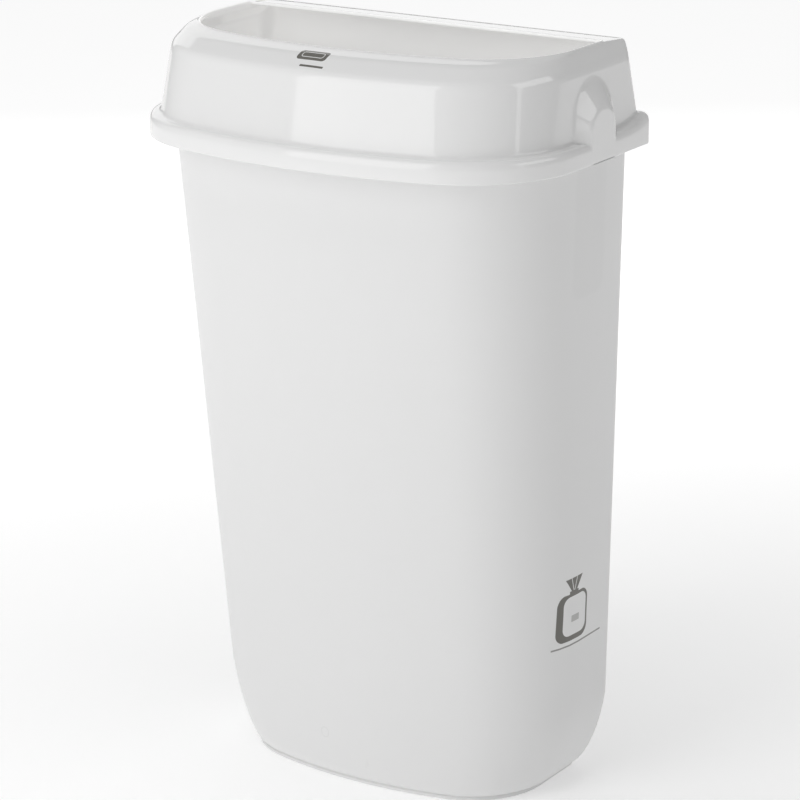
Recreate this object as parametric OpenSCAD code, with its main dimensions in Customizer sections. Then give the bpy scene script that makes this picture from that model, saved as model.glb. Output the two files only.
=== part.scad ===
// Flat-backed waste bin for washrooms and offices: a tapered tub, a lift-off collar lid with an open top,
// and a hinged wire ring that grips the bag inside the collar.
// +Z is up, the front faces -Y, the flat back faces +Y. The origin is the centre of the outline on the floor.

/* [Overall size] */
// Height of the whole bin with its lid on
height = 700; // [600:5:840]
// Width over the skirt of the lid
width = 427; // [380:1:512]
// Depth over the skirt of the lid
depth = 255; // [225:1:306]
// How far the front bows out, as a share of half the width
bow_share = 0.2; // [0.15:0.01:0.22]
// Radius of the front corners, as a share of half the width
corner_share = 0.5; // [0.42:0.01:0.52]

/* [Tub] */
// Thickness of the tub's wall
tub_wall = 2.8; // [2.2:0.1:3.4]
// Thickness of the tub's floor
tub_floor = 3.4; // [2.8:0.1:4.2]
// How far the tub's side wall at the rim lies inside the skirt's outer face
tub_side_inset = 13.6; // [13.6:0.1:16]
// How far the tub's front wall at the rim lies inside the skirt's outer face
tub_front_inset = 27; // [20:0.5:32]
// How far the tub's back wall lies inside the skirt's outer face
tub_back_inset = 12.6; // [12.6:0.1:15]
// How much each side leans in between the rim and the bend above the foot
side_lean = 14; // [6:0.5:22]
// How much the front leans in between the rim and the bend above the foot
front_lean = 52; // [30:1:62]
// Height of the bend that tucks the walls in above the foot
bend_height = 88; // [70:1:106]
// How much each side tucks in through the bend
bend_tuck = 32; // [24:1:38]
// Height of the bead that the bin stands on
foot_height = 3.5; // [2.5:0.1:5]

/* [Lid] */
// Height of the lid from the skirt's lower edge to the opening
lid_height = 96.5; // [88:0.5:116]
// Thickness of the lid's wall
lid_wall = 3; // [2.4:0.1:3.6]
// Height of the skirt
skirt_height = 19; // [17:0.5:22]
// Width of the ledge between the skirt and the lid's wall
ledge = 10.3; // [9.5:0.1:12]
// Width of the ledge behind the lid's wall
ledge_back = 6; // [5:0.1:8]
// How much the ledge sweeps up towards the back of the bin
ledge_rise = 10; // [0:0.5:12]
// Height of the sloping shoulder under the opening
shoulder_height = 15.5; // [13:0.5:18]
// How much each side of the lid leans in between the ledge and the shoulder
lid_side_lean = 3.7; // [1:0.1:5]
// How much the lid's front leans in between the ledge and the shoulder
lid_front_lean = 12.2; // [8:0.2:14]
// How much the lid's back leans in between the ledge and the shoulder
lid_back_lean = 1; // [0.5:0.1:3]
// Width of the shoulder along the sides
shoulder_side = 9.6; // [8.6:0.1:12]
// Width of the shoulder along the front
shoulder_front = 34.5; // [30:0.5:40]
// Width of the flat strip behind the opening
shoulder_back = 39.5; // [34:0.5:46]
// How much lower the shoulder's crown is than the opening
crown_drop = 3.7; // [2.5:0.1:5]
// Distance from the opening's lip forward to the shoulder's crown
crown_front = 14.5; // [10:0.5:20]
// Width of the rolled lip round the opening
lip = 2.5; // [2:0.1:3]

/* [Side bosses] */
// Distance from the back of the bin to the middle of the side bosses
boss_back = 86; // [80:1:92]
// Half the width of a boss at the lid's wall
boss_base = 35.5; // [33:0.5:40]
// Half the width of the boss's outer face
boss_face = 20.6; // [20:0.1:24]
// Height of the boss above the ledge at the lid's wall
boss_rise = 49; // [44:1:52]
// Height of the boss's outer face above the ledge
boss_face_rise = 26; // [24:1:30]

/* [Bag ring] */
// Diameter of the ring's wire
wire = 5; // [4.2:0.1:6]
// Clearance between the ring's side wires and the opening
ring_clear = 7; // [6:0.5:9]
// Radial clearance of the ring's journals in their eyes
journal_clear = 0.05; // [0.02:0.01:0.1]
// Width of the brackets that carry the ring
bracket_width = 44; // [38:1:44]
// How far a bracket's tongue reaches down the tub's wall
tongue_length = 135; // [100:1:160]
// Thickness of the brackets
bracket_wall = 3; // [2.5:0.1:3.5]

/* [Wall fixing] */
// Distance between the two screw holes in the back
hole_spacing = 240; // [200:5:260]
// Diameter of the screw holes
hole_d = 5.5; // [4.5:0.1:6.5]

/* [Hidden] */
$fn = 48;

back = depth / 2;
front = -depth / 2;
half = width / 2;
white = [0.94, 0.94, 0.94];
satin = [0.9, 0.9, 0.9];
steel = [0.62, 0.63, 0.65];
grey = [0.8, 0.8, 0.79];

// --- heights, from the lid down
skirt_bottom = height - lid_height;
skirt_top = skirt_bottom + skirt_height;
ledge_z = skirt_top + 2.2;
seat_z = skirt_top - lid_wall;
seat_gap = 0.1;
rim_top = seat_z - seat_gap;
break_z = height - shoulder_height;
// back corner radii of the plan at the skirt, at the foot of the lid's wall, at its top and at the crown
skirt_corner = 8.2;
foot_wall_corner = 5.7;
wall_corner = 18;
crown_corner = 5;

// --- plan outline: a bowed front, round front corners, straight sides and a straight back
// level = [z, half width, front y, back y, back corner radius, inward offset, share of the usual front corner]
function bow_radius(a) = (a * a + pow(bow_share * a, 2)) / (2 * bow_share * a);
// largest corner radius that still lets the straight side start at y
function corner_room(a, f, y) = let (big = bow_radius(a)) (big + a - pow(f + big - y, 2) / (big - a)) / 2;
function arc(cx, cy, r, from, to, n) = [for (i = [1:n]) let (t = from + (to - from) * i / n)
    [cx + r * cos(t), cy + r * sin(t)]];
function half_outline(v, n) =
    let (a = v[1], f = v[2], b = v[3], off = v[5], rb = max(v[4] - off, 2), big = bow_radius(a),
        rf = corner_used * a * (v[6] == undef ? 1 : v[6]), cy = f + big, cx = a - rf,
        yc = cy - sqrt(pow(big - rf, 2) - cx * cx), turn = atan2(yc - cy, cx),
        bx = a - off - rb, by = b - off - rb)
    concat([[0, cy - big + off]],
        arc(0, cy, big - off, -90, turn, n[0]),
        arc(cx, yc, rf - off, turn, 0, n[1]),
        [for (i = [1:n[2]]) [a - off, yc + (by - yc) * i / n[2]]],
        arc(bx, by, rb, 0, 90, n[3]),
        [for (i = [1:n[4]]) [bx * (1 - i / n[4]), b - off]]);
function outline(v, n) = let (h = half_outline(v, n), last = len(h) - 1)
    concat(h, [for (i = [last - 1:-1:1]) [-h[i][0], h[i][1]]]);

// --- skins between levels of points
function skin_faces(count, n, closed) = [for (i = [0:count - (closed ? 1 : 2)]) for (j = [0:n - 1])
    for (side = [0, 1])
    let (k = (i + 1) % count, m = (j + 1) % n)
    side == 0 ? [i * n + j, k * n + j, k * n + m] : [i * n + j, k * n + m, i * n + m]];
function lift(points, z) = [for (p = points) [p[0], p[1], z]];
function flatten(rows) = [for (row = rows) for (p = row) p];

// --- tub
tub_detail = [8, 9, 3, 4, 3];
// radius of the rolled rim's outer edge, and how far its edge turns down
rim_edge = 2.6;
rim_drop = 11;
tub_rim_half = half - tub_side_inset;
tub_rim_front = front + tub_front_inset;
tub_back = back - tub_back_inset;
tub_slope = side_lean / (skirt_bottom - bend_height);
front_slope = front_lean / (skirt_bottom - bend_height);
// the bend above the foot is a flattened arc: the power sets how square it is
bend_power = 1.6;
// the front and back tuck in by this share of what the sides do
foot_share = 0.05;
foot_in = 1.5;
bead_edge = 0.6;
bead_width = 5;
foot_corner = 12;
function tub_half(z) = tub_rim_half - tub_slope * (skirt_bottom - z);
function tub_front(z) = tub_rim_front + front_slope * (skirt_bottom - z);
function tub_corner(z) = foot_corner + 4.5 * z / height;
function tub_level(z, off = 0) = [z, tub_half(z), tub_front(z), tub_back, tub_corner(z), off];
function tuck(z) = let (t = (bend_height - z) / (bend_height - foot_height))
    bend_tuck * (1 - pow(1 - pow(t, bend_power), 1 / bend_power));
function bend_level(z, off = 0) = [z, tub_half(z) - tuck(z), tub_front(z) + foot_share * tuck(z),
    tub_back - foot_share * tuck(z), foot_corner, off];
function at_height(v, z, off) = [z, v[1], v[2], v[3], v[4], off];
function bend_z(t, low) = bend_height - (bend_height - low) * pow(sin(90 * t), 2 / bend_power);
// the rolled rim follows the inside of the lid's skirt: a flat top, a turned-down edge and a hollow below
rim_gap = 1.2;
skirt_plan = [0, half, front, back, skirt_corner, 0];
function rim_level(z, inset) = at_height(skirt_plan, z, lid_wall + rim_gap + inset);
rim_out = half - lid_wall - rim_gap;
tub_floor_z = foot_height + tub_floor;
foot_plan = bend_level(foot_height);
floor_plan = bend_level(tub_floor_z + 1.5);
tub_levels = concat(
    [at_height(foot_plan, foot_height, bead_width + 1), at_height(foot_plan, 0, bead_width),
        at_height(foot_plan, 0, bead_edge), at_height(foot_plan, bead_edge, 0),
        at_height(foot_plan, foot_height - 0.8, 0)],
    [for (i = [0:9]) bend_level(bend_z(1 - i / 10, foot_height + 0.4), max(0, foot_in * (1 - i / 2)))],
    [tub_level(bend_height), tub_level((bend_height + rim_top) / 2), tub_level(rim_top - tub_wall)],
    [rim_level(rim_top - tub_wall, rim_edge), rim_level(rim_top - rim_drop, rim_edge),
        rim_level(rim_top - rim_drop, 0), rim_level(rim_top - 2.4, 0),
        rim_level(rim_top - 0.9, 0.9), rim_level(rim_top, 2.8)],
    [tub_level(rim_top, tub_wall - 1), tub_level(rim_top - 1, tub_wall),
        tub_level((bend_height + rim_top) / 2, tub_wall), tub_level(bend_height, tub_wall)],
    [for (i = [1:8]) bend_level(bend_z(i / 9, foot_height), tub_wall)],
    [at_height(floor_plan, tub_floor_z + 0.4, tub_wall + 1.2),
        at_height(floor_plan, tub_floor_z, tub_wall + 3)]);

module tub_shell() {
    rings = [for (v = tub_levels) lift(outline(v, tub_detail), v[0])];
    n = len(rings[0]);
    last = len(rings) - 1;
    caps = [[for (j = [0:n - 1]) j], [for (j = [n - 1:-1:0]) last * n + j]];
    polyhedron(flatten(rings), concat(caps, skin_faces(len(rings), n, false)), convexity = 6);
}

// --- bag ring and its brackets
pivot_y = back - boss_back;
pivot_z = rim_top + 10;
opening_half = half - ledge - lid_side_lean - shoulder_side - lip;
opening_front = front + ledge + lid_front_lean + shoulder_front + lip;
opening_back = back - ledge_back - lid_back_lean - shoulder_back;
ring_half = opening_half - ring_clear;
ring_front = opening_front + ring_clear / 2;
ring_back = pivot_y + 30;
eye_inner = tub_half(rim_top) - tub_wall - 1;
eye_width = 9;
eye_outer = eye_inner + eye_width;
washer_gap = 0.3;
washer_wall = 1;
washer_rim = 3;
journal_end = eye_outer + washer_gap + washer_wall + 0.8;

// --- front corners: the straight sides start just ahead of the brackets, within their clearance, so a wide
// or shallow bin has tighter corners
corner_lead = 3;
tongue_z = rim_top - tongue_length + bracket_width / 2;
tongue_front = pivot_y - bracket_width / 2 + corner_lead;
tongue_half = tub_half(tongue_z);
corner_used = min(corner_share, corner_room(tongue_half, tub_front(tongue_z), tongue_front) / tongue_half);

// --- wall fixing and the brackets' screws
hole_z = skirt_bottom - 60;
spacer_d = 20;
screw_d = 3.5;
screw_head_d = 6.4;
screw_head = 1.8;
screw_length = 8;
screw_grip = screw_length - bracket_wall;
screw_reach = bracket_width / 2 - 5;
screw_x = tub_half(rim_top) + 2.6;
screw_taper = 1.6;
eye_r = wire / 2 + 6.5;
tongue_clear = 0.15;
// where the lug that the ring rests on stands, and how wide it is
rest_reach = 18;
rest_width = 6;

module mirrored() {
    children();
    mirror([1, 0, 0]) children();
}

module at_screws() {
    mirrored() for (side = [-1, 1]) translate([screw_x, pivot_y + side * screw_reach, rim_top]) children();
}

module tub() {
    color(satin) difference() {
        union() {
            tub_shell();
            // solid blocks under the rim take the bracket's screws
            mirrored()
                translate([tub_half(rim_top) - 0.8, pivot_y - bracket_width / 2, rim_top - rim_drop + 1.5])
                cube([rim_out - rim_edge - tub_half(rim_top) + 1.6, bracket_width, rim_drop - 2.5]);
            // spacers that reach back to the wall behind the bin
            mirrored() translate([hole_spacing / 2, tub_back - 1.5, hole_z]) rotate([-90, 0, 0])
                cylinder(d = spacer_d, h = back - tub_back + 1.5);
        }
        mirrored() translate([hole_spacing / 2, tub_back - tub_wall - 4, hole_z]) rotate([-90, 0, 0])
            cylinder(d = hole_d, h = back - tub_back + tub_wall + 8);
        at_screws() translate([0, 0, -screw_grip - 0.5])
            cylinder(d = screw_d + 2 * journal_clear, h = screw_grip + 4);
    }
}

module bracket_screws() {
    color(steel) at_screws() {
        translate([0, 0, -screw_grip]) cylinder(d = screw_d, h = screw_length);
        translate([0, 0, bracket_wall]) cylinder(d1 = screw_head_d, d2 = screw_head_d - screw_taper,
            h = screw_head);
    }
}

// --- lid
lid_detail = [8, 9, 20, 3, 3];
// radius of the skirt's upper edge
edge_r = 6;
wall_foot = [0, half, front, back + ledge - ledge_back, ledge + foot_wall_corner, 0];
wall_back = back - ledge_back - lid_back_lean;
wall_top = [0, half - ledge - lid_side_lean, front + ledge + lid_front_lean, wall_back, wall_corner, 0];
crown_tight = 0.84;
opening_tight = 0.9;
crown_plan = [0, opening_half + lip + 0.6, opening_front - lip - crown_front, wall_back - 1, crown_corner, 0,
    crown_tight];
lip_plan = [0, opening_half + lip, opening_front - lip, opening_back + lip, 5, 0, opening_tight];
opening_plan = [0, opening_half, opening_front, opening_back, 3, 0, opening_tight];
under_plan = [0, opening_half + 0.6, opening_front - 0.6, opening_back + 0.6, 4, 0, opening_tight];
function plan(v, off = 0) = outline([0, v[1], v[2], v[3], v[4], off, v[6]], lid_detail);
function blend(p, q, t) = [for (i = [0:len(p) - 1]) p[i] * (1 - t) + q[i] * t];
function wall_share(z) = min(max((z - ledge_z) / (break_z - ledge_z), 0), 1);
function wall_plan(z, off) = blend(plan(wall_foot, ledge + off), plan(wall_top, off), wall_share(z));
function wall_x(z) = half - ledge - lid_side_lean * wall_share(z);
// the sweep of the ledge starts behind the bosses
sweep_start = pivot_y + boss_base + 2;
function sweep(y) = ledge_rise * pow(max(0, (y - sweep_start) / (back - sweep_start)), 2);
function swept(points, share) = [for (p = points) [p[0], p[1], p[2] + share * sweep(p[1])]];

// the boss is an arch whose flanks slope out from the lid's wall to a flat outer face, on short straight legs
boss_leg = 7;
boss_spring = ledge_z + boss_leg;
function oval(t, p, q) = p * q / sqrt(pow(q * cos(t), 2) + pow(p * sin(t), 2));
function boss_share(y, z, grow) =
    let (dy = abs(y - pivot_y), dz = max(z - boss_spring, 0), r = sqrt(dy * dy + dz * dz) + grow,
        t = atan2(dz, max(dy, 0.001)), foot = oval(t, boss_base, boss_rise - boss_leg),
        face = oval(t, boss_face, boss_face_rise - boss_leg))
    min(max((foot - r) / (foot - face), 0), 1);
face_x = half - 0.05;
function boss_x(y, z, inside) =
    let (x = wall_x(z), t = boss_share(y, z, inside ? 1 : 0))
    t <= 0 ? 0 : x - (inside ? lid_wall : 0) + t * (face_x - x);
function bossed(points, z, inside) = [for (p = points)
    let (x = z > break_z - 2 ? 0 : boss_x(p[1], z, inside))
    abs(p[0]) > x ? [p[0], p[1], z] : [sign(p[0]) * x, p[1], z]];

wall_rise = boss_rise + 4;
wall_levels = [for (i = [0:10]) ledge_z + i * wall_rise / 10];
module lid() {
    outer = concat(
        [for (p = [[skirt_bottom, 0.6], [skirt_bottom + 0.6, 0], [skirt_top - edge_r, 0]])
            bossed(plan(skirt_plan, p[1]), p[0], false)],
        [for (t = [15:15:90])
            let (z = skirt_top - edge_r * (1 - sin(t)))
            swept(bossed(plan(skirt_plan, edge_r * (1 - cos(t))), z, false), sin(t))],
        [for (p = [[0.6, 1.6], [1.1, 0.5]])
            swept(bossed(plan(wall_foot, ledge - p[1]), skirt_top + p[0], false), 1)],
        [for (i = [0:10]) swept(bossed(wall_plan(wall_levels[i], 0), wall_levels[i], false), 1 - i / 10)],
        [lift(wall_plan(break_z - 3, 0), break_z - 3),
            lift(blend(plan(wall_top), plan(crown_plan), 0.02), break_z - 0.6),
            lift(blend(plan(wall_top), plan(crown_plan), 0.12), break_z + 1.8),
            lift(blend(plan(wall_top), plan(crown_plan), 0.3), break_z + 4.6)],
        [lift(blend(plan(wall_top), plan(crown_plan), 0.72), height - crown_drop - 2.4),
            lift(blend(plan(crown_plan), plan(lip_plan), 0.03), height - crown_drop - 0.4),
            lift(blend(plan(crown_plan), plan(lip_plan), 0.3), height - crown_drop + 1)],
        [lift(plan(lip_plan), height - 1),
            lift(blend(plan(lip_plan), plan(opening_plan), 0.35), height - 0.3),
            lift(blend(plan(lip_plan), plan(opening_plan), 0.75), height),
            lift(plan(opening_plan), height - 0.7)]);
    inner = concat(
        [lift(plan(opening_plan), height - lid_wall),
            lift(plan(under_plan), height - lid_wall - 0.8),
            lift(plan(crown_plan, lid_wall), height - crown_drop - lid_wall),
            lift(blend(plan(wall_top, lid_wall), plan(crown_plan, lid_wall), 0.15), break_z + 0.4),
            lift(plan(wall_top, lid_wall), break_z - 2)],
        [for (i = [10:-1:0])
            swept(bossed(wall_plan(wall_levels[i], lid_wall), wall_levels[i], true), 1 - i / 10)],
        [for (p = [[ledge + lid_wall, seat_z + 0.6], [edge_r, seat_z]])
            swept(bossed(plan(p[0] > ledge ? wall_foot : skirt_plan, p[0]), p[1], true), 1)],
        [for (p = [[4, seat_z - 0.8, 0.6], [lid_wall, seat_z - 3, 0.2], [lid_wall, skirt_bottom + 0.5, 0],
            [lid_wall - 0.5, skirt_bottom, 0]])
            swept(bossed(plan(skirt_plan, p[0]), p[1], true), p[2])]);
    rings = concat(outer, inner);
    color(white)
        polyhedron(flatten(rings), skin_faces(len(rings), len(rings[0]), true), convexity = 8);
}

// --- bag ring: one round wire bent to the outline of the opening, with a journal on each side
ring_detail = [6, 9, 2, 6, 1];
ring_plan = [0, ring_half, ring_front, ring_back, 4 * wire, 0];
ring_sides = 16;
function ring_station(path, i) =
    let (n = len(path), a = path[(i + n - 1) % n], b = path[(i + 1) % n], run = (b - a) / norm(b - a))
    [for (k = [0:ring_sides - 1]) let (t = 360 * k / ring_sides, r = wire / 2)
        [path[i][0] + r * cos(t) * run[1], path[i][1] - r * cos(t) * run[0], -r * sin(t)]];

module bag_ring() {
    path = outline(ring_plan, ring_detail);
    stations = [for (i = [0:len(path) - 1]) ring_station(path, i)];
    color(steel) translate([0, 0, pivot_z]) {
        polyhedron(flatten(stations), skin_faces(len(path), ring_sides, true), convexity = 6);
        mirrored() translate([ring_half, pivot_y, 0]) rotate([0, 90, 0])
            cylinder(d = wire, h = journal_end - ring_half);
    }
}

module ring_retaining_washers() {
    color(grey) mirrored() translate([eye_outer + washer_gap, pivot_y, pivot_z]) rotate([0, 90, 0])
        difference() {
            cylinder(d = wire + 2 * washer_rim, h = washer_wall);
            translate([0, 0, -1]) cylinder(d = wire, h = washer_wall + 2);
        }
}

module ring_bracket() {
    inner_x = tub_half(rim_top) - tub_wall - tongue_clear;
    difference() {
        union() {
            // tongue that lies on the inside of the tub's wall
            translate([inner_x, pivot_y, rim_top]) rotate([0, atan(tub_slope), 0])
                translate([-bracket_wall, 0, 0]) rotate([90, 0, 90]) linear_extrude(bracket_wall) {
                    translate([0, -tongue_length + bracket_width / 2]) circle(d = bracket_width);
                    translate([-bracket_width / 2, -tongue_length + bracket_width / 2])
                        square([bracket_width, tongue_length - bracket_width / 2 + bracket_wall / 2]);
                }
            // plate over the rim
            translate([inner_x - bracket_wall, pivot_y - bracket_width / 2, rim_top])
                cube([eye_outer - inner_x + bracket_wall, bracket_width, bracket_wall]);
            // eye for the ring's journal
            translate([eye_inner, pivot_y, pivot_z]) rotate([0, 90, 0])
                cylinder(r = eye_r, h = eye_outer - eye_inner);
            translate([eye_inner, pivot_y - eye_r, rim_top])
                cube([eye_outer - eye_inner, 2 * eye_r, pivot_z - rim_top]);
            // lug that the ring's side wire rests on
            translate([ring_half - wire / 2, pivot_y - rest_reach - rest_width / 2, rim_top])
                cube([inner_x - ring_half + wire / 2, rest_width, pivot_z - wire / 2 - rim_top]);
        }
        translate([eye_inner - 1, pivot_y, pivot_z]) rotate([0, 90, 0])
            cylinder(d = wire + 2 * journal_clear, h = eye_outer - eye_inner + 2);
        for (side = [-1, 1]) translate([screw_x, pivot_y + side * screw_reach, rim_top - 1])
            cylinder(d = screw_d + 2 * journal_clear, h = bracket_wall + 2);
    }
}

module right_ring_bracket() {
    color(grey) ring_bracket();
}

module left_ring_bracket() {
    color(grey) mirror([1, 0, 0]) ring_bracket();
}

tub();
lid();
bag_ring();
ring_retaining_washers();
right_ring_bracket();
left_ring_bracket();
bracket_screws();
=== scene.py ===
"""A flat-backed washroom waste bin: satin tub, glossy collar lid, wire bag ring and its brackets."""
import math

import bpy
import numpy as np
from mathutils import Matrix, Vector


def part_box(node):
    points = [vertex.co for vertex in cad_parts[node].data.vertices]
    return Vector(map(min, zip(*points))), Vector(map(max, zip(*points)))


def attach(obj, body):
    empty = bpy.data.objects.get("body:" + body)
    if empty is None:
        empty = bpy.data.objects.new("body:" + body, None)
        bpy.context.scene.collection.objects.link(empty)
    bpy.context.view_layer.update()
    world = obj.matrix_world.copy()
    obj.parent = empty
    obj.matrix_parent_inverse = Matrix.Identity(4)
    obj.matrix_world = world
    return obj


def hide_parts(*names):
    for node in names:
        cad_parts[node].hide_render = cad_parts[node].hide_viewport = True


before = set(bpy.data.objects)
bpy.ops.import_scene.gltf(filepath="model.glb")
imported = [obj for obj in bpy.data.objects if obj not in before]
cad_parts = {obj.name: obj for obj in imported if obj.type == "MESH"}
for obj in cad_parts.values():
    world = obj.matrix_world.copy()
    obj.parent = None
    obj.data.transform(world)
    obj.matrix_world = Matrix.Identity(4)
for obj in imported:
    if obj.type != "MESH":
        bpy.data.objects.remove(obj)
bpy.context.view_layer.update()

MM = 0.001

# ---------------------------------------------------------------- sizes of the lid, in metres
LID_LOW, LID_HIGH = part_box("lid")
HALF, FRONT, BACK = LID_HIGH.x, LID_LOW.y, LID_HIGH.y
TOP, SKIRT_BOTTOM = LID_HIGH.z, LID_LOW.z
BOW_SHARE, CORNER_SHARE = 0.2, 0.5
LID_WALL = 3 * MM
SKIRT_HEIGHT = 19 * MM
LEDGE, LEDGE_BACK, LEDGE_RISE = 10.3 * MM, 6 * MM, 10 * MM
SIDE_LEAN, FRONT_LEAN, BACK_LEAN = 3.7 * MM, 12.2 * MM, 1 * MM
SHOULDER_HEIGHT = 15.5 * MM
SHOULDER_SIDE, SHOULDER_FRONT, SHOULDER_BACK = 9.6 * MM, 34.5 * MM, 39.5 * MM
CROWN_DROP, CROWN_FRONT = 3.7 * MM, 14.5 * MM
CROWN_TIGHT, OPENING_TIGHT = 0.84, 0.9
LIP = 2.5 * MM
SKIRT_CORNER, FOOT_CORNER, WALL_CORNER, CROWN_CORNER = 8.2 * MM, 5.7 * MM, 18 * MM, 5 * MM
OPENING_CORNER = 3 * MM
BOSS_BACK = 86 * MM
BOSS_BASE, BOSS_FACE = 35.5 * MM, 20.6 * MM
BOSS_RISE, BOSS_FACE_RISE = 49 * MM, 26 * MM
BOSS_STRAIGHT = 7 * MM
BOSS_INSET = 0.05 * MM
SEAT_RUN = 5 * MM

SKIRT_TOP = SKIRT_BOTTOM + SKIRT_HEIGHT
LEDGE_Z = SKIRT_TOP + 2.2 * MM
SEAT_Z = SKIRT_TOP - LID_WALL
BREAK_Z = TOP - SHOULDER_HEIGHT
BOSS_Y = BACK - BOSS_BACK
BOSS_SPRING = LEDGE_Z + BOSS_STRAIGHT
SWEEP_START = BOSS_Y + BOSS_BASE + 2 * MM


# ---------------------------------------------------------------- places of the marks, in metres
BADGE_X, BADGE_Y = -2 * MM, -85 * MM
BAG_Y, BAG_Z = 41 * MM, 178 * MM
# Centre of the painted shadow that each bracket's tongue casts through the tub's side walls.
BRACKET_SHADOW_Y, BRACKET_SHADOW_Z = 45 * MM, 560 * MM
GATE_X, GATE_Z = -30 * MM, 45 * MM
PRINT_EDGE = 0.12 * MM


# ---------------------------------------------------------------- camera
def place_camera():
    """A long lens in front of the bin, to its right and a little above."""
    azimuth, elevation, roll = math.radians(34.0), math.radians(17.62), math.radians(-0.64)
    distance = 2.893
    sensor = 36
    focal_in_frames = 3.9918
    aim_right, aim_up = 0.01272, 0.00648
    target = Vector((0, -0.0242, TOP / 2))
    back = Vector((math.sin(azimuth) * math.cos(elevation), -math.cos(azimuth) * math.cos(elevation),
                   math.sin(elevation)))
    across = Vector((math.cos(azimuth), math.sin(azimuth), 0))
    up = back.cross(across)
    right = across * math.cos(roll) + up * math.sin(roll)
    upright = up * math.cos(roll) - across * math.sin(roll)
    view = (right * aim_right + upright * aim_up - back).normalized()
    side = view.cross(upright).normalized()
    above = side.cross(view)
    data = bpy.data.cameras.new("camera")
    data.sensor_width = sensor
    data.lens = sensor * focal_in_frames
    data.clip_start, data.clip_end = 0.05, 50
    camera = bpy.data.objects.new("camera", data)
    bpy.context.scene.collection.objects.link(camera)
    camera.location = target + back * distance
    camera.rotation_mode = "QUATERNION"
    camera.rotation_quaternion = Matrix((side, above, -view)).transposed().to_quaternion()
    bpy.context.scene.camera = camera


# ---------------------------------------------------------------- shader arithmetic
class Value:
    """A socket of a finish's node tree, used in plain arithmetic."""

    def __init__(self, finish, socket):
        self.finish, self.socket = finish, socket

    def math(self, operation, *others):
        return self.finish.node("ShaderNodeMath", {"operation": operation}, self, *others)

    def __add__(self, other):
        return self.math("ADD", other)

    __radd__ = __add__

    def __sub__(self, other):
        return self.math("SUBTRACT", other)

    def __rsub__(self, other):
        return self.finish.node("ShaderNodeMath", {"operation": "SUBTRACT"}, other, self)

    def __mul__(self, other):
        return self.math("MULTIPLY", other)

    __rmul__ = __mul__

    def __neg__(self):
        return self * -1

    def __abs__(self):
        return self.math("ABSOLUTE")

    def smallest(self, other):
        return self.math("MINIMUM", other)

    def largest(self, other):
        return self.math("MAXIMUM", other)

    def root(self):
        return self.math("SQRT")

    def ramp(self, low, high, to_low=0.0, to_high=1.0):
        """The value taken smoothly from one range to another, and held at its ends."""
        return self.finish.node("ShaderNodeMapRange", {"interpolation_type": "SMOOTHSTEP"}, self,
                                low, high, to_low, to_high)


class Finish:
    """One material and its nodes."""

    def __init__(self, name):
        self.material = bpy.data.materials.new(name)
        self.material.use_nodes = True
        self.tree = self.material.node_tree
        self.tree.nodes.clear()
        found = self.tree.nodes.new("ShaderNodeTexCoord").outputs
        self.place = Value(self, found["Object"])
        self.normal = Value(self, found["Normal"])

    def feed(self, socket, value):
        if isinstance(value, Value):
            self.tree.links.new(value.socket, socket)
        elif value is not None:
            socket.default_value = value

    def node(self, kind, settings=None, *values, out=0, **named):
        made = self.tree.nodes.new(kind)
        for key, setting in (settings or {}).items():
            setattr(made, key, setting)
        for socket, value in zip(made.inputs, values):
            self.feed(socket, value)
        for key, value in named.items():
            self.feed(made.inputs[key.replace("_", " ")], value)
        return Value(self, made.outputs[out])

    def vector(self, operation, *values, out=0):
        """Vector arithmetic; output 1 is the single number of a dot product or a length."""
        return self.node("ShaderNodeVectorMath", {"operation": operation}, *values, out=out)

    def axes(self):
        parts = self.tree.nodes.new("ShaderNodeSeparateXYZ")
        self.tree.links.new(self.place.socket, parts.inputs[0])
        return [Value(self, socket) for socket in parts.outputs]

    def noise(self, scale, detail=3.0, roughness=0.5, stretch=None):
        where = self.place if stretch is None else self.vector("MULTIPLY", self.place, stretch)
        return self.node("ShaderNodeTexNoise", {}, Vector=where, Scale=scale, Detail=detail,
                         Roughness=roughness)

    def blend(self, share, first, second):
        """Colour mix: the first colour where share is 0, the second where it is 1."""
        made = self.tree.nodes.new("ShaderNodeMix")
        made.data_type = "RGBA"
        for socket, value in ((made.inputs[0], share), (made.inputs[6], first), (made.inputs[7], second)):
            self.feed(socket, value)
        return Value(self, made.outputs[2])

    def bump(self, height, distance, strength=1.0, normal=None):
        return self.node("ShaderNodeBump", {}, Strength=strength, Distance=distance, Height=height,
                         Normal=normal)

    def close(self, color, roughness, normal, painted_glow=None, **fixed):
        """Joins the shader to the output; the fixed values go on the shader's own sockets."""
        shader = self.tree.nodes.new("ShaderNodeBsdfPrincipled")
        self.feed(shader.inputs["Base Color"], color)
        self.feed(shader.inputs["Roughness"], roughness)
        self.feed(shader.inputs["Normal"], normal)
        self.feed(shader.inputs["Emission Color"], painted_glow)
        for key, value in fixed.items():
            shader.inputs[key.replace("_", " ")].default_value = value
        output = self.tree.nodes.new("ShaderNodeOutputMaterial")
        self.tree.links.new(shader.outputs[0], output.inputs[0])
        return self.material


def grey(level):
    return (level, level, level, 1.0)


def tint(red, green, blue):
    return (red, green, blue, 1.0)


# ---------------------------------------------------------------- printed marks
INK = tint(0.15, 0.145, 0.13)


def box_edge(x, y, half_x, half_y, corner):
    """Signed distance to a rounded rectangle, below zero inside."""
    dx = abs(x) - (half_x - corner)
    dy = abs(y) - (half_y - corner)
    outside = (dx.largest(0) * dx.largest(0) + dy.largest(0) * dy.largest(0)).root()
    return outside + dx.largest(dy).smallest(0) - corner


def solid(distance, soft=PRINT_EDGE):
    """One inside the shape that the signed distance belongs to."""
    return distance.ramp(-soft, soft, 1.0, 0.0)


def stroke(distance, width, soft=PRINT_EDGE):
    """One on a line of a width along the shape's edge."""
    return solid(abs(distance) - width / 2, soft)


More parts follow.
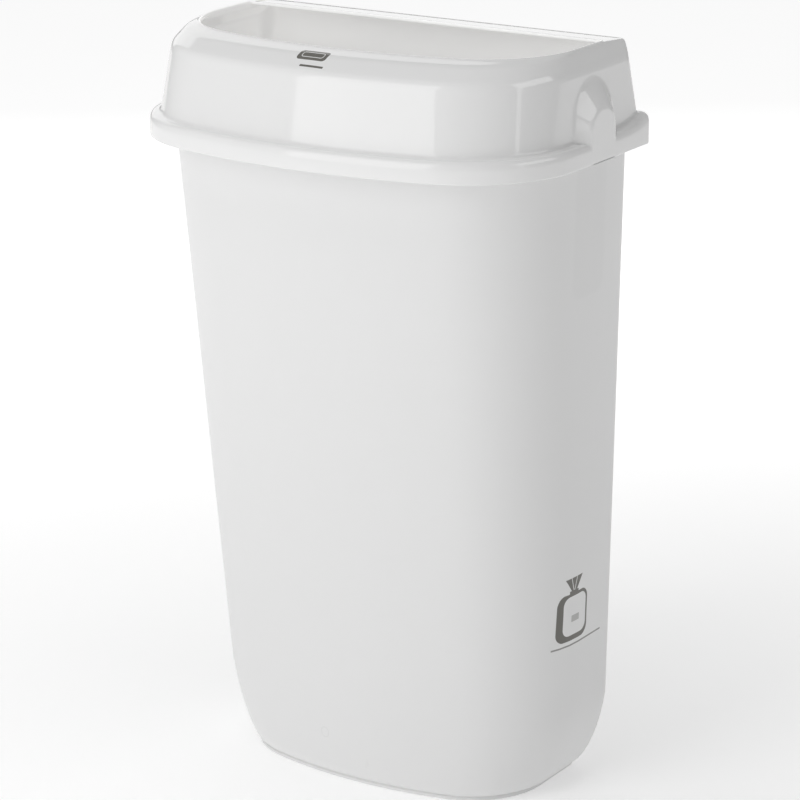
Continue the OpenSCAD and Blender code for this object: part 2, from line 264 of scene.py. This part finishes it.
def lid_badge(x, y, z):
    """A plain rounded badge with a bar under it, printed on the lid's shoulder at its middle."""
    across, along = x - BADGE_X, y - BADGE_Y
    plate = box_edge(across, along, 15 * MM, 6.5 * MM, 3.5 * MM)
    inner = box_edge(across, along, 11 * MM, 3.2 * MM, 2.2 * MM)
    bar = box_edge(across - 6 * MM, along + 13 * MM, 12 * MM, 1.1 * MM, 0.5 * MM)
    marks = solid(plate) - stroke(inner, 0.7 * MM)
    return marks.largest(solid(bar)) * z.ramp(BREAK_Z, BREAK_Z + 1 * MM)


def tied_bag(x, y, z):
    """A plain tied bag with a thin rule under it, printed low on the right side of the tub."""
    across, up = y - BAG_Y, z - BAG_Z
    knot = up - 24 * MM
    belly = box_edge(across, up, 23 * MM, 23 * MM, 10 * MM)
    pale = box_edge(across - 3 * MM, up - 1 * MM, 17.5 * MM, 19 * MM, 8 * MM)
    collar = box_edge(across, knot, 7 * MM, 1.6 * MM, 1 * MM)
    fan = (abs(across) - knot * 0.75 - 3 * MM).largest(up - 38 * MM).largest(25 * MM - up)
    pleat = stroke(abs(across) - knot * 0.3 - 0.2 * MM, 0.9 * MM)
    band = box_edge(across - 3 * MM, up + 2 * MM, 6 * MM, 3.2 * MM, 0.6 * MM)
    rule = box_edge(across - 11 * MM, up + 27.5 * MM, 38 * MM, 0.8 * MM, 0.5 * MM)
    marks = (solid(belly) - solid(pale)).largest(solid(collar)).largest(solid(fan) * (1 - pleat))
    marks = marks.largest(solid(band) * 0.5).largest(solid(rule) * 0.8)
    return marks * x.ramp(0.1, 0.12)


def facing_in(finish):
    """One on the faces that look towards the bin's axis, zero on those that look outwards."""
    outwards = finish.vector("NORMALIZE", finish.vector("MULTIPLY", finish.place, (1, 1, 0)))
    towards = finish.vector("DOT_PRODUCT", outwards, finish.normal, out=1)
    return (-towards).ramp(0.1, 0.5)


# ---------------------------------------------------------------- finishes
def gloss_white():
    """The lid's glossy moulding; its inside carries a little painted glow that stands in for the light that
    comes through it.
    """
    f = Finish("lid_gloss_white")
    x, y, z = f.axes()
    flow = f.noise(6, 2)
    speck = f.noise(900, 2)
    dust = f.noise(140, 4, 0.65)
    ripple = f.noise(22, 2, stretch=(1, 1, 0.6))
    color = f.blend(flow, tint(0.83, 0.83, 0.828), tint(0.855, 0.855, 0.853))
    color = f.blend(dust.ramp(0.62, 0.8) * 0.05, color, tint(0.7, 0.69, 0.67))
    color = f.blend(lid_badge(x, y, z), color, INK)
    rough = 0.055 + flow * 0.02 + dust.ramp(0.5, 0.8) * 0.05
    normal = f.bump(ripple, 0.25 * MM, 0.35, f.bump(speck, 0.02 * MM, 0.2))
    # Painted glow: the inward faces above the skirt emit a faint warm white in place of light that comes
    # through the wall.
    inside = facing_in(f) * z.ramp(SKIRT_TOP, SKIRT_TOP + 12 * MM)
    painted_glow = f.blend(inside, grey(0.0), tint(1.0, 0.99, 0.97))
    return f.close(color, rough, normal, painted_glow, IOR=1.5, Emission_Strength=0.3)


def satin_white():
    """The tub's satin moulding, a little scuffed round the foot, with its gate mark, printed bag and a faint
    painted shadow of each bracket's tongue on the side walls.
    """
    f = Finish("tub_satin_white")
    x, y, z = f.axes()
    flow = f.noise(4, 2, stretch=(1, 1, 0.4))
    grain = f.noise(1500, 2, 0.6)
    scuff = f.noise(60, 6, 0.7, stretch=(1, 1, 0.25))
    low = z.ramp(0.05, 0.0)
    color = f.blend(flow, tint(0.80, 0.80, 0.80), tint(0.825, 0.825, 0.822))
    color = f.blend(scuff.ramp(0.6, 0.78) * low * 0.35, color, tint(0.6, 0.59, 0.57))
    # Painted shadow: a faint darkening on both side walls where the bracket tongue stands behind them.
    bracket_shadow_edge = box_edge(y - BRACKET_SHADOW_Y, z - BRACKET_SHADOW_Z, 26 * MM, 80 * MM, 12 * MM)
    color = f.blend(solid(bracket_shadow_edge, 3 * MM) * abs(x).ramp(0.15, 0.17) * 0.03, color, grey(0.2))
    gate = stroke(box_edge(x - GATE_X, z - GATE_Z, 4 * MM, 5 * MM, 3.9 * MM), 0.8 * MM, 0.5 * MM)
    color = f.blend(gate * (-y).ramp(0.0, 0.02) * 0.12, color, grey(0.3))
    color = f.blend(tied_bag(x, y, z), color, INK)
    rough = 0.33 + flow * 0.05 + scuff.ramp(0.55, 0.8) * 0.06
    normal = f.bump(grain, 0.03 * MM, 0.35)
    return f.close(color, rough, normal, IOR=1.48)


def grey_plastic():
    """The ring brackets' moulding."""
    f = Finish("bracket_grey")
    flow = f.noise(30, 2)
    grain = f.noise(1200, 3)
    color = f.blend(flow, grey(0.62), grey(0.68))
    return f.close(color, 0.42 + flow * 0.08, f.bump(grain, 0.05 * MM, 0.4), IOR=1.48)


def plated_wire():
    """Bright zinc plating with fine drawing lines along the wire."""
    f = Finish("ring_wire_plated")
    lines = f.noise(300, 4, 0.6, stretch=(0.15, 1, 4))
    stain = f.noise(45, 4, 0.6)
    color = f.blend(stain.ramp(0.35, 0.75), tint(0.63, 0.64, 0.66), tint(0.5, 0.5, 0.5))
    return f.close(color, 0.22 + stain * 0.16, f.bump(lines, 0.04 * MM, 0.5), Metallic=1.0)


def spring_steel():
    """The washers' dull spring steel."""
    f = Finish("washer_spring_steel")
    stain = f.noise(120, 4, 0.6)
    color = f.blend(stain, tint(0.42, 0.42, 0.44), tint(0.56, 0.56, 0.57))
    return f.close(color, 0.3 + stain * 0.15, f.bump(stain, 0.05 * MM, 0.4), Metallic=1.0)


def zinc_screw():
    """The screws' zinc, a little yellowed."""
    f = Finish("screw_zinc")
    stain = f.noise(260, 4, 0.6)
    color = f.blend(stain, tint(0.6, 0.61, 0.63), tint(0.5, 0.49, 0.44))
    return f.close(color, 0.26 + stain * 0.18, f.bump(stain, 0.05 * MM, 0.4), Metallic=1.0)


# ---------------------------------------------------------------- outlines and lofts
# Points on half an outline: bowed front, front corner, side, back corner, back.
BOW_POINTS, CORNER_POINTS, SIDE_POINTS, BACK_CORNER_POINTS, BACK_POINTS = 22, 30, 92, 8, 6
LEAST_BACK_CORNER = 2 * MM


def arc(cx, cy, radius, start, end, count):
    """Points along an arc between two angles in degrees, without its first."""
    turns = np.radians(start) + np.radians(end - start) * np.arange(1, count + 1)[:, None] / count
    return np.hstack([cx + radius * np.cos(turns), cy + radius * np.sin(turns)])


def outline(half, front, back, back_corner, inset=0.0, tight=1.0):
    """The plan of the bin: a bowed front, round front corners, straight sides and a straight back."""
    sagitta = BOW_SHARE * half
    big = (half * half + sagitta * sagitta) / (2 * sagitta)
    corner = CORNER_SHARE * half * tight
    cy, cx = front + big, half - corner
    yc = cy - math.sqrt((big - corner) ** 2 - cx * cx)
    turn = math.degrees(math.atan2(yc - cy, cx))
    rb = max(back_corner - inset, LEAST_BACK_CORNER)
    bx, by = half - inset - rb, back - inset - rb
    share = np.arange(1, SIDE_POINTS + 1)[:, None] / SIDE_POINTS
    side = np.hstack([np.full_like(share, half - inset), yc + (by - yc) * share])
    share = np.arange(1, BACK_POINTS + 1)[:, None] / BACK_POINTS
    rear = np.hstack([bx * (1 - share), np.full_like(share, back - inset)])
    right = np.vstack([[[0, cy - big + inset]], arc(0, cy, big - inset, -90, turn, BOW_POINTS),
                       arc(cx, yc, corner - inset, turn, 0, CORNER_POINTS), side,
                       arc(bx, by, rb, 0, 90, BACK_CORNER_POINTS), rear])
    left = right[-2:0:-1] * (-1, 1)
    return np.vstack([right, left])


def level(points, z):
    """A plan outline at a height."""
    return np.hstack([points, np.full((len(points), 1), z)])


def rounded(rings, radii, steps=7):
    """A closed run of control rings, with each ring's corner rounded by its radius."""
    most = 0.48
    made = []
    count = len(rings)
    for i, (ring, radius) in enumerate(zip(rings, radii)):
        before, after = rings[i - 1] - ring, rings[(i + 1) % count] - ring
        far_before = np.linalg.norm(before, axis=1, keepdims=True)
        far_after = np.linalg.norm(after, axis=1, keepdims=True)
        start = ring + before / far_before * np.minimum(radius, far_before * most)
        end = ring + after / far_after * np.minimum(radius, far_after * most)
        for k in range(steps + 1):
            t = k / steps
            made.append(start * (1 - t) ** 2 + ring * 2 * t * (1 - t) + end * t * t)
    return made


def filled(rings, pairs, step):
    """Adds rings on the long stretches: a step apart on the chosen pairs, and coarser on the rest."""
    coarser = 6
    made = []
    for i, ring in enumerate(rings):
        made.append(ring)
        following = rings[(i + 1) % len(rings)]
        gap = np.linalg.norm(following - ring, axis=1).max()
        count = int(gap / step) if pairs(ring, following) else int(gap / (coarser * step))
        for k in range(1, count + 1):
            t = k / (count + 1)
            made.append(ring * (1 - t) + following * t)
    return made


def loft(name, rings, finish, body, replaces):
    """A closed tube of rings as one smooth mesh, shown in place of the named CAD nodes."""
    n = len(rings[0])
    count = len(rings)
    vertices = np.vstack(rings)
    i, j = np.meshgrid(np.arange(count), np.arange(n), indexing="ij")
    k, m = (i + 1) % count, (j + 1) % n
    faces = np.stack([i * n + j, i * n + m, k * n + m, k * n + j], axis=-1).reshape(-1, 4)
    mesh = bpy.data.meshes.new(name)
    mesh.from_pydata(vertices.tolist(), [], faces.tolist())
    mesh.validate()
    mesh.shade_smooth()
    mesh.materials.append(finish)
    piece = bpy.data.objects.new(name, mesh)
    bpy.context.scene.collection.objects.link(piece)
    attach(piece, body)
    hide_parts(*replaces)


# ---------------------------------------------------------------- the lid
def soft_clip(t, soft=0.14):
    """Holds t between 0 and 1 with rounded ends."""
    low = np.where(t < -soft, 0, np.where(t > soft, t, (t + soft) ** 2 / (4 * soft)))
    high = 1 - low
    return 1 - np.where(high < -soft, 0, np.where(high > soft, high, (high + soft) ** 2 / (4 * soft)))


def oval(turn, across, up):
    """The radius of an oval at an angle from its level axis."""
    return across * up / np.sqrt((up * np.cos(turn)) ** 2 + (across * np.sin(turn)) ** 2)


def with_bosses(ring, inside):
    """Pushes the ring's sides out where the side bosses stand; the inside keeps the wall's thickness."""
    ring = ring.copy()
    x, y, z = np.abs(ring[:, 0]), ring[:, 1], ring[:, 2]
    share = np.clip((z - LEDGE_Z) / (BREAK_Z - LEDGE_Z), 0, 1)
    wall = HALF - LEDGE - SIDE_LEAN * share
    rise = np.maximum(z - BOSS_SPRING, 0)
    away = np.hypot(y - BOSS_Y, rise) + (1 * MM if inside else 0)
    turn = np.arctan2(rise, np.maximum(np.abs(y - BOSS_Y), 1e-6))
    foot = oval(turn, BOSS_BASE, BOSS_RISE - BOSS_STRAIGHT)
    face = oval(turn, BOSS_FACE, BOSS_FACE_RISE - BOSS_STRAIGHT)
    t = soft_clip((foot - away) / (foot - face))
    out = wall - (LID_WALL if inside else 0) + t * (HALF - BOSS_INSET - wall)
    keep = (t > 0) & (z < BREAK_Z - 2 * MM) & (out > x)
    ring[:, 0] = np.where(keep, np.sign(ring[:, 0]) * out, ring[:, 0])
    return ring


def swept(ring, share):
    """Lifts the ring along the ledge's sweep towards the back."""
    ring = ring.copy()
    along = np.clip((ring[:, 1] - SWEEP_START) / (BACK - SWEEP_START), 0, 1)
    ring[:, 2] += share * LEDGE_RISE * along ** 2
    return ring


def make_lid(finish):
    """The lid: a closed profile taken round the bin, out and up the skirt and back down inside."""
    def skirt(inset):
        return outline(HALF, FRONT, BACK, SKIRT_CORNER, inset)

    wall_back = BACK - LEDGE_BACK - BACK_LEAN
    opening_half = HALF - LEDGE - SIDE_LEAN - SHOULDER_SIDE - LIP
    opening_front = FRONT + LEDGE + FRONT_LEAN + SHOULDER_FRONT + LIP
    opening_back = wall_back - SHOULDER_BACK

    def wall_foot(inset):
        return outline(HALF, FRONT, BACK + LEDGE - LEDGE_BACK, LEDGE + FOOT_CORNER, inset)

    def wall_top(inset):
        return outline(HALF - LEDGE - SIDE_LEAN, FRONT + LEDGE + FRONT_LEAN, wall_back, WALL_CORNER,
                       inset)

    def crown(inset):
        return outline(opening_half + LIP + 0.6 * MM, opening_front - LIP - CROWN_FRONT,
                       wall_back - 1 * MM, CROWN_CORNER, inset, CROWN_TIGHT)

    def opening(grow):
        return outline(opening_half + grow, opening_front - grow, opening_back + grow, OPENING_CORNER + grow, 0,
                       OPENING_TIGHT)

    # Each control ring: its outline, its height and the radius of its corner in millimetres.
    profile = [
        (skirt(LID_WALL), SKIRT_BOTTOM, 0.6),
        (skirt(0), SKIRT_BOTTOM, 0.9),
        (skirt(0), SKIRT_TOP, 8),
        (wall_foot(LEDGE), SKIRT_TOP + 1.0 * MM, 3.5),
        (wall_top(0), BREAK_Z, 6),
        (crown(0), TOP - CROWN_DROP, 5),
        (opening(LIP), TOP - 1.0 * MM, 0.8),
        (opening(LIP * 0.5), TOP + 0.25 * MM, 1.0),
        (opening(0), TOP - 0.6 * MM, 0.8),
        (opening(0), TOP - LID_WALL, 0.7),
        (crown(LID_WALL), TOP - CROWN_DROP - LID_WALL, 4),
        (wall_top(LID_WALL), BREAK_Z - 2 * MM, 4),
        (wall_foot(LEDGE + LID_WALL), SEAT_Z + 0.6 * MM, 0.8),
        (skirt(SEAT_RUN), SEAT_Z, 2.5),
        (skirt(LID_WALL), SEAT_Z - 3 * MM, 2.0),
    ]
    lifts = [0, 0, 0.9, 1, 0, 0, 0, 0, 0, 0, 0, 0, 1, 0.9, 0.2]
    rings = rounded([swept(level(points, z), share) for (points, z, _), share in zip(profile, lifts)],
                    [radius * MM for _, _, radius in profile])
    rings = filled(rings, lambda a, b: abs(a[0, 2] - b[0, 2]) > 20 * MM, 1.3 * MM)
    topmost = max(range(len(rings)), key=lambda i: rings[i][0, 2])
    rings = [with_bosses(ring, i > topmost) for i, ring in enumerate(rings)]
    loft("lid_moulding", rings, finish, "lid", ["lid"])


# ---------------------------------------------------------------- light and floor
LIT_FROM = Vector((0, 0, 0.65))
WORLD_LIGHT = 0.33
FLOOR_REACH = 6.0


def softbox(name, azimuth, elevation, size, radiance, distance=2.6, mirrored=True, lit=True):
    """A rectangular light, seen from the lid at an azimuth from the front and an elevation, in degrees.

    A light that isn't mirrored shows in no reflection, and one that isn't lit shows only there.
    """
    turn, lift = math.radians(azimuth), math.radians(elevation)
    way = Vector((math.sin(turn) * math.cos(lift), -math.cos(turn) * math.cos(lift), math.sin(lift)))
    data = bpy.data.lights.new(name, "AREA")
    data.shape = "RECTANGLE"
    data.size, data.size_y = size
    data.energy = radiance * math.pi * size[0] * size[1]
    light = bpy.data.objects.new(name, data)
    bpy.context.scene.collection.objects.link(light)
    light.location = LIT_FROM + way * distance
    light.rotation_mode = "QUATERNION"
    light.rotation_quaternion = (-way).to_track_quat("-Z", "Y")
    light.visible_glossy, light.visible_diffuse = mirrored, lit


def light_the_studio():
    """An even grey room, one big window at the front left, and boxes on the right, behind and overhead."""
    world = bpy.data.worlds.new("studio")
    world.use_nodes = True
    world.node_tree.nodes["Background"].inputs[0].default_value = grey(1.0)
    world.node_tree.nodes["Background"].inputs[1].default_value = WORLD_LIGHT
    bpy.context.scene.world = world
    bpy.context.scene.view_settings.view_transform = "Standard"
    softbox("window_front", -17.4, 17, (1.59, 2.4), 1.85)
    softbox("box_right", 100, 26, (1.9, 1.1), 2.2, lit=False)
    softbox("strip_right", 81, 5, (0.2, 0.9), 1.6, lit=False)
    softbox("sweep_back", -146, 20, (3.2, 1.6), 0.9)
    softbox("box_overhead", -10, 78, (1.5, 1.5), 1.7, distance=1.9, mirrored=False)


def make_floor():
    """A pale floor just below the bead that the bin stands on, with a painted glow that is weaker near the bin
    and brightens away from it.
    """
    mesh = bpy.data.meshes.new("floor")
    corners = [(x * FLOOR_REACH, y * FLOOR_REACH, 0) for x, y in ((-1, -1), (1, -1), (1, 1), (-1, 1))]
    mesh.from_pydata(corners, [], [(0, 1, 2, 3)])
    f = Finish("floor_white")
    speckle = f.noise(3, 2)
    # Painted glow: the floor's emission grows with the distance from the bin, standing in for light on the far
    # floor.
    away = f.vector("LENGTH", f.place, out=1)
    painted_glow = f.blend(away.ramp(0.2, 2.0), grey(0.27), grey(0.62))
    mesh.materials.append(f.close(f.blend(speckle, grey(0.92), grey(0.94)), 0.8, None, painted_glow,
                                  Emission_Strength=1.0))
    floor = bpy.data.objects.new("floor", mesh)
    bpy.context.scene.collection.objects.link(floor)
    floor.location.z = -0.4 * MM


# ---------------------------------------------------------------- assembly
def dress(node, finish):
    """Gives a CAD node its finish and even shading."""
    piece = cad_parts[node]
    piece.data.materials.clear()
    piece.data.materials.append(finish)
    piece.data.shade_smooth()
    weld = piece.modifiers.new("weld", "WELD")
    weld.merge_threshold = 0.01 * MM
    split = piece.modifiers.new("crisp_edges", "EDGE_SPLIT")
    split.split_angle = math.radians(32)


place_camera()
light_the_studio()
make_floor()
dress("tub", satin_white())
make_lid(gloss_white())
dress("bag_ring", plated_wire())
dress("ring_retaining_washers", spring_steel())
bracket = grey_plastic()
dress("right_ring_bracket", bracket)
dress("left_ring_bracket", bracket)
dress("bracket_screws", zinc_screw())
